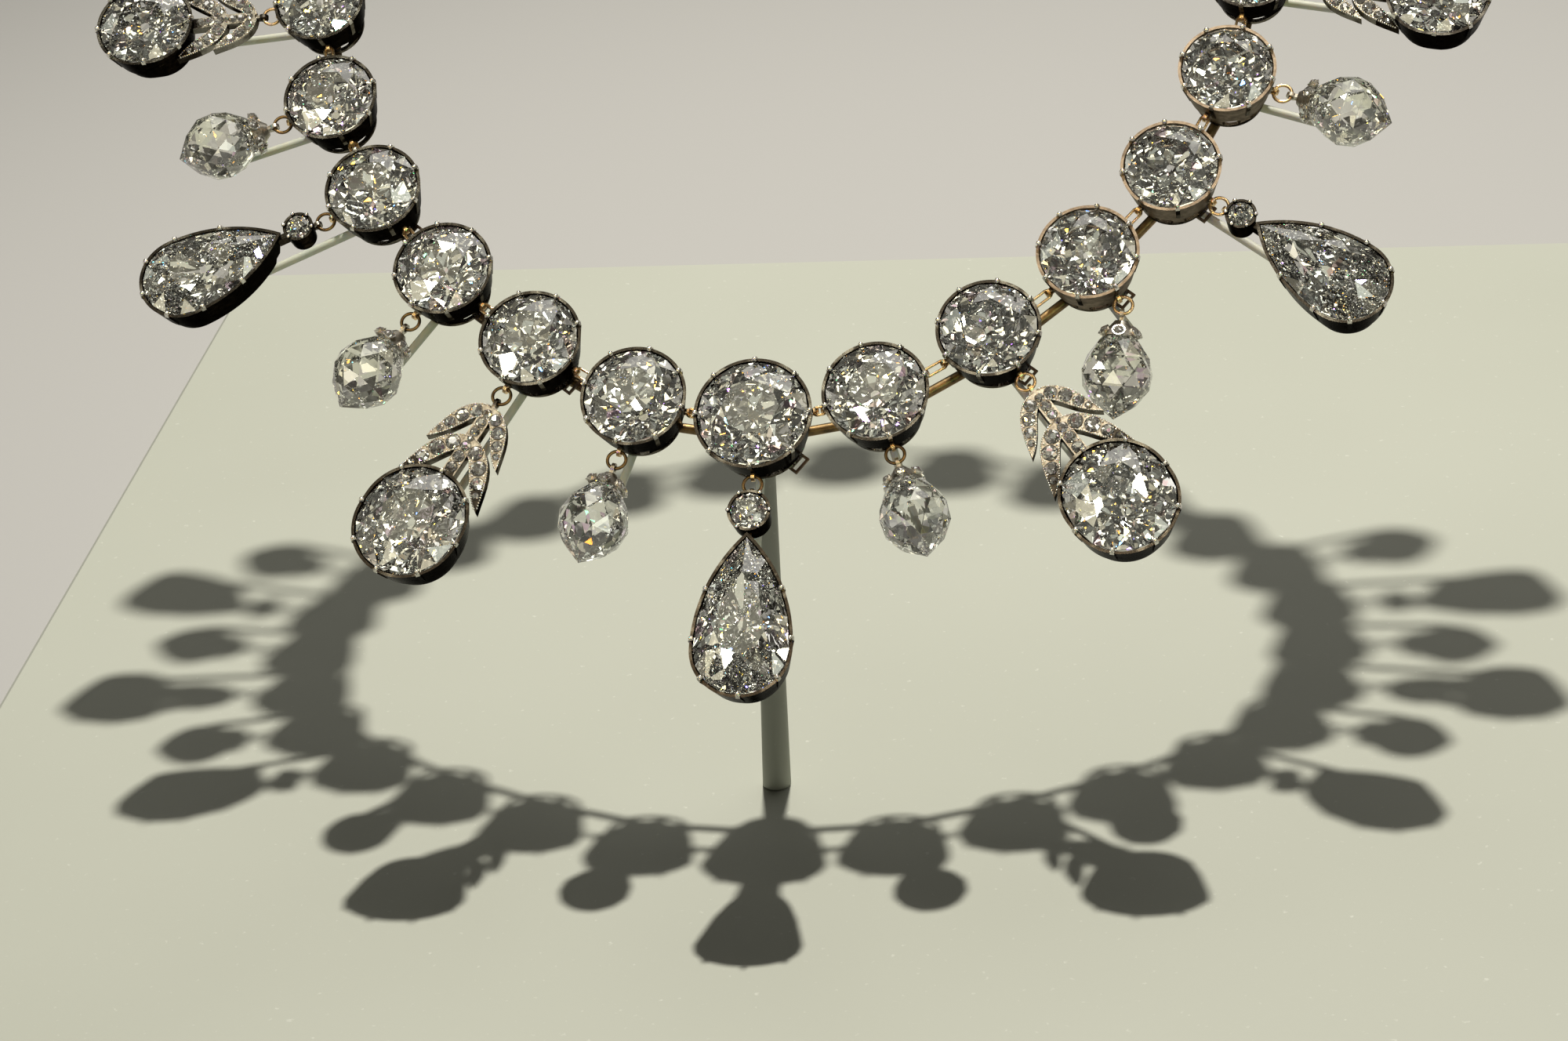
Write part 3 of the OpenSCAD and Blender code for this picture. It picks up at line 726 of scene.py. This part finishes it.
class NECKLACE_OT_cap_stones(bpy.types.Operator):
    """Set six rose-cut stones in their bezels round each briolette's cap"""

    bl_idname = "necklace.cap_stones"
    bl_label = "Cap stones"

    def execute(self, context):
        width = context.scene.necklace_sizes.rose_d
        materials = bpy.data.materials
        places = []
        for k in [k for k in PLACES if drop_at(k) == "briolette"]:
            for i in range(CAP_STONES):
                around = turn_about("X", 360 / CAP_STONES * i)
                out = on_drop(k) @ Matrix.Translation((0, 0, LUG_Z)) @ around
                places.append(spot(out, CAP_STONE_X, 0, CAP_STONE_OUT, tip=CAP_STONE_TIP))
        rose = self.rose_pattern(width)
        set_copies(rose, places, "cap_stones", materials["small diamond"])
        bezel = self.bezel_pattern(width)
        set_copies(bezel, places, "cap_bezels", materials["bright silver"])
        return {"FINISHED"}

    def rose_pattern(self, width):
        """A flat-backed stone with six facets round a low peak of six more."""
        bpy.ops.object.select_all(action="DESELECT")
        bpy.ops.mesh.primitive_circle_add(vertices=6, radius=width / 2, fill_type="NGON")
        bpy.ops.object.mode_set(mode="EDIT")
        bpy.ops.mesh.select_all(action="SELECT")
        bpy.ops.mesh.extrude_region_move(TRANSFORM_OT_translate={"value": (0, 0, 0.2 * width)})
        bpy.ops.transform.resize(value=(0.62, 0.62, 1), center_override=(0, 0, 0))
        bpy.ops.transform.rotate(value=math.radians(30), orient_axis="Z", center_override=(0, 0, 0))
        bpy.ops.mesh.poke(offset=0.12 * width)
        bpy.ops.mesh.select_all(action="SELECT")
        bpy.ops.mesh.quads_convert_to_tris()
        bpy.ops.mesh.normals_make_consistent(inside=False)
        bpy.ops.object.mode_set(mode="OBJECT")
        return bpy.context.object

    def bezel_pattern(self, width):
        """A shallow cup of silver round a stone."""
        bpy.ops.object.select_all(action="DESELECT")
        bpy.ops.mesh.primitive_circle_add(
            vertices=12, radius=0.46 * width, fill_type="NGON", location=(0, 0, -0.14 * width)
        )
        bpy.ops.object.mode_set(mode="EDIT")
        bpy.ops.mesh.select_all(action="SELECT")
        bpy.ops.mesh.extrude_region_move(TRANSFORM_OT_translate={"value": (0, 0, 0.22 * width)})
        bpy.ops.transform.resize(value=(1.24, 1.24, 1))
        bpy.ops.mesh.inset(thickness=0.07 * width, depth=0)
        bpy.ops.mesh.inset(thickness=0.01 * width, depth=-0.08 * width)
        bpy.ops.mesh.select_all(action="SELECT")
        bpy.ops.mesh.normals_make_consistent(inside=False)
        bpy.ops.object.mode_set(mode="OBJECT")
        bpy.ops.object.transform_apply(location=True)
        bpy.ops.object.shade_smooth_by_angle(angle=math.radians(40))
        return bpy.context.object


class NECKLACE_OT_links(bpy.types.Operator):
    """Finish the links, the clasp and the jump rings in old gold, with dark brass on some rings as painted
    shade
    """

    bl_idname = "necklace.links"
    bl_label = "Links and rings"

    def execute(self, context):
        gold = bpy.data.materials["old gold"]
        for name in ("chain_links", "clasp"):
            dress(name, [gold], lambda middle, normal: 0)
        # Painted shade: the jump rings on the left, at the centre and at R1 take dark brass in place of
        # gold
        shaded_ring_eyes = [on_drop(k) @ Vector((0, 0, LUG_Z)) for k in SHADED_RING_PLACES]

        def ring_face(middle, _normal):
            return 1 if any((middle - eye).length < 4 * MM for eye in shaded_ring_eyes) else 0

        dress("drop_rings", [gold, bpy.data.materials["dark brass"]], ring_face)
        return {"FINISHED"}


class NECKLACE_OT_stand(bpy.types.Operator):
    """Paint the stand and its arms, and finish its wire ring in dark brass"""

    bl_idname = "necklace.stand"
    bl_label = "Stand"

    def execute(self, context):
        paint = pale_paint(context.scene.necklace_colours, "pale paint")
        dress("stand_block", [paint], lambda middle, normal: 0)
        dress("stand_post", [paint], lambda middle, normal: 0)
        inverse = on_loop((0, 0)).inverted()
        ring = [centre_at(k) for k in (*PLACES, -LAST)]

        def frame_face(middle, _normal):
            """The wire ring under the collets is brass, and its arms under the drops are painted."""
            q = (inverse @ middle).to_2d()
            off_ring = 99
            for a, b in zip(ring, ring[1:]):
                point, share = geometry.intersect_point_line(q, a, b)
                point = a if share < 0 else b if share > 1 else point
                off_ring = min(off_ring, (q - point.to_2d()).length)
            return 1 if off_ring > RING_HALF and q.length > PLATE_R else 0

        dress("stand_frame", [dark_brass(), paint], frame_face)
        return {"FINISHED"}


def add_lamp(azimuth, elevation, distance, size, glow, colour, spared=None):
    """A soft lamp that looks at the necklace's middle. glow is its brightness, whatever its size.

    spared is a collection that names, as excluded, the things it doesn't light.
    """
    a = math.radians(azimuth)
    e = math.radians(elevation)
    out = Vector((math.cos(e) * math.cos(a), math.cos(e) * math.sin(a), math.sin(e)))
    bpy.ops.object.light_add(type="AREA", location=LIT_CENTRE + distance * out)
    lamp = bpy.context.object
    lamp.data.shape = "RECTANGLE"
    lamp.data.size, lamp.data.size_y = size
    lamp.data.energy = math.pi * size[0] * size[1] * glow
    lamp.data.color = colour
    lamp.rotation_euler = out.to_track_quat("Z", "Y").to_euler()
    lamp.visible_camera = False
    if spared:
        lamp.light_linking.receiver_collection = spared


def add_key():
    """The main lamp, small and high behind the necklace, with a wide and soft-edged beam."""
    bpy.ops.object.light_add(type="SPOT", location=KEY_PLACE)
    lamp = bpy.context.object
    lamp.data.energy = KEY_POWER
    lamp.data.shadow_soft_size = KEY_RADIUS
    lamp.data.spot_size = math.radians(KEY_BEAM)
    lamp.data.spot_blend = 1.0
    lamp.data.color = (1, 0.95, 0.86)
    lamp.rotation_euler = (Vector(KEY_PLACE) - Vector(KEY_AIM)).to_track_quat("Z", "Y").to_euler()
    lamp.visible_camera = False


# The camera: its place in metres, and its turn, its look down and its roll in degrees
CAMERA_PLACE = (0.0742, -0.450, 0.2667)
CAMERA_TURN, CAMERA_DOWN, CAMERA_ROLL = 10.094, 28.126, -5.644
# The main lamp: its place and aim in metres, its power in watts, its radius and the width of its beam
KEY_PLACE = (0.0165, 0.165, 0.748)
KEY_AIM = (0.01, 0.025, 0.01)
KEY_POWER, KEY_RADIUS, KEY_BEAM = 39, 0.012, 80
# The broad overhead lamp: azimuth, elevation, distance, size, brightness and colour
OVERHEAD = (80, 58, 1.6, (1.3, 1.1), 1.9, (1, 0.97, 0.9))
# The middle of the necklace, which every panel and small lamp looks at
LIT_CENTRE = Vector((0, -0.02, 0.08))
WARM = (1.0, 0.93, 0.67)
COOL = (0.96, 1.0, 0.84)
# A half ring of soft panels in front of the necklace, each row with its elevation
PANEL_ROWS = (6, 26, 46, 68)
PANEL_GLOW = (0.01, 0.11, 0.03, 0.62, 0.05, 0.02, 0.30)
# Lamps: azimuth, elevation, distance, size, brightness and colour
LAMPS = [
    (-92, 5, 0.9, (0.50, 0.10), 3.2, WARM),
    (-45, 14, 0.9, (0.18, 0.22), 3.4, COOL),
    (-140, 14, 0.9, (0.18, 0.22), 3.4, WARM),
    (-92, 50, 0.9, (0.20, 0.07), 4.4, WARM),
    (-30, 42, 0.9, (0.10, 0.18), 4.0, COOL),
    (-155, 42, 0.9, (0.10, 0.18), 4.0, WARM),
    (15, 30, 0.9, (0.20, 0.30), 1.6, WARM),
    (165, 30, 0.9, (0.20, 0.30), 1.6, COOL),
    (-68, 32, 0.9, (0.04, 0.04), 44, WARM),
    (-116, 34, 0.9, (0.04, 0.04), 44, COOL),
    (-128, 48, 0.9, (0.04, 0.04), 44, WARM),
    (-85, 70, 0.9, (0.04, 0.04), 44, WARM),
    (-52, 22, 0.9, (0.04, 0.04), 44, COOL),
    (-162, 28, 0.9, (0.04, 0.04), 44, WARM),
    (-14, 24, 0.9, (0.04, 0.04), 44, WARM),
]
# Small coloured lamps that the facets pick up as fire
SPARKS = [
    (-75, 45, (1.0, 0.38, 0.04)),
    (-108, 26, (0.1, 0.3, 1.0)),
    (-60, 16, (0.15, 1.0, 0.35)),
    (-130, 38, (1.0, 0.55, 0.06)),
    (-40, 36, (0.25, 0.2, 1.0)),
    (-85, 62, (1.0, 0.42, 0.05)),
    (-160, 36, (0.1, 0.7, 1.0)),
    (-12, 40, (1.0, 0.5, 0.06)),
    (-98, 12, (1.0, 0.7, 0.1)),
    (-122, 12, (0.4, 0.15, 1.0)),
    (-100, 40, (1.0, 0.62, 0.1)),
    (-56, 52, (1.0, 0.35, 0.05)),
    (-145, 22, (1.0, 0.5, 0.05)),
    (-72, 20, (1.0, 0.68, 0.12)),
    (-112, 56, (1.0, 0.45, 0.05)),
]


class NECKLACE_OT_stage(bpy.types.Operator):
    """Set the pale floor, the soft lights and the camera"""

    bl_idname = "necklace.stage"
    bl_label = "Stage"

    def execute(self, context):
        sizes = context.scene.necklace_sizes
        bpy.ops.mesh.primitive_plane_add(size=8, location=(0, 2, 0))
        floor = context.object
        floor.name = "floor"
        m = Finish("pale floor")
        cloud = m.noise(0.8, 2.0)
        floor.data.materials.append(
            m.set(
                Base_Color=m.mix(cloud, opaque((0.40, 0.40, 0.39)), opaque((0.44, 0.44, 0.43))),
                Roughness=0.7,
            )
        )
        world = bpy.data.worlds.new("studio")
        context.scene.world = world
        world.use_nodes = True
        world.node_tree.nodes["Background"].inputs[0].default_value = (0.60, 0.57, 0.48, 1)
        world.node_tree.nodes["Background"].inputs[1].default_value = 0.12
        add_lamp(*OVERHEAD)
        add_key()
        spared = bpy.data.collections.new("not lit by the panels")
        for thing in (floor, NODES["stand_block"], NODES["stand_post"]):
            spared.objects.link(thing)
        for link in spared.collection_objects:
            link.light_linking.link_state = "EXCLUDE"
        for row, elevation in enumerate(PANEL_ROWS):
            for column in range(9):
                number = 9 * row + column
                azimuth = -180 + 20 * column + (10 if row % 2 else 0)
                glow = PANEL_GLOW[3 * number % 7] * (1.2 if number % 4 == 1 else 0.9)
                tones = (WARM, COOL) if number % 2 else (COOL, WARM)
                add_lamp(azimuth, elevation, 1.1, (0.34, 0.34), glow, tones[0], spared)
                add_lamp(azimuth + 7, elevation + 5, 0.95, (0.028, 0.028), 44, tones[1], spared)
        for azimuth, elevation, distance, size, glow, colour in LAMPS:
            add_lamp(azimuth, elevation, distance, size, glow, colour, spared)
        for azimuth, elevation, colour in SPARKS:
            add_lamp(azimuth, elevation, 0.8, (0.026, 0.026), 150, colour, spared)
        bpy.ops.object.camera_add(location=CAMERA_PLACE)
        camera = context.object
        aim = turn_about("Z", CAMERA_TURN) @ turn_about("X", 90 - CAMERA_DOWN)
        camera.rotation_euler = (aim @ turn_about("Z", CAMERA_ROLL)).to_euler()
        camera.data.sensor_width = 36
        camera.data.lens = sizes.camera_lens
        camera.data.clip_start = 0.01
        context.scene.camera = camera
        context.scene.view_settings.view_transform = "Standard"
        context.scene.view_settings.look = "None"
        context.scene.view_settings.exposure = -0.5
        context.scene.cycles.max_bounces = 24
        context.scene.cycles.glossy_bounces = 20
        context.scene.cycles.transmission_bounces = 24
        context.scene.cycles.caustics_refractive = False
        context.scene.cycles.caustics_reflective = False
        return {"FINISHED"}


STEPS = ("collets", "drop_settings", "stones", "leaf_grains", "cap_stones", "stand", "links", "stage")


class NECKLACE_PT_panel(bpy.types.Panel):
    """Lists the steps and the colour and size settings of the necklace"""

    bl_idname = "NECKLACE_PT_panel"
    bl_label = "Diamond Necklace"
    bl_space_type = "VIEW_3D"
    bl_region_type = "UI"
    bl_category = "Necklace"

    def draw(self, context):
        for step in STEPS:
            self.layout.operator("necklace." + step)
        for group in (context.scene.necklace_colours, context.scene.necklace_sizes):
            for name in group.__annotations__:
                self.layout.prop(group, name)


CLASSES = (
    NecklaceColours,
    NecklaceSizes,
    NECKLACE_OT_collets,
    NECKLACE_OT_drop_settings,
    NECKLACE_OT_stones,
    NECKLACE_OT_leaf_grains,
    NECKLACE_OT_cap_stones,
    NECKLACE_OT_links,
    NECKLACE_OT_stand,
    NECKLACE_OT_stage,
    NECKLACE_PT_panel,
)


def register():
    for cls in CLASSES:
        bpy.utils.register_class(cls)
    bpy.types.Scene.necklace_colours = bpy.props.PointerProperty(type=NecklaceColours)
    bpy.types.Scene.necklace_sizes = bpy.props.PointerProperty(type=NecklaceSizes)


def unregister():
    del bpy.types.Scene.necklace_sizes
    del bpy.types.Scene.necklace_colours
    for cls in reversed(CLASSES):
        bpy.utils.unregister_class(cls)


def main():
    register()
    for step in STEPS:
        bpy.ops.object.select_all(action="DESELECT")
        getattr(bpy.ops.necklace, step)()


if __name__ == "__main__":
    main()
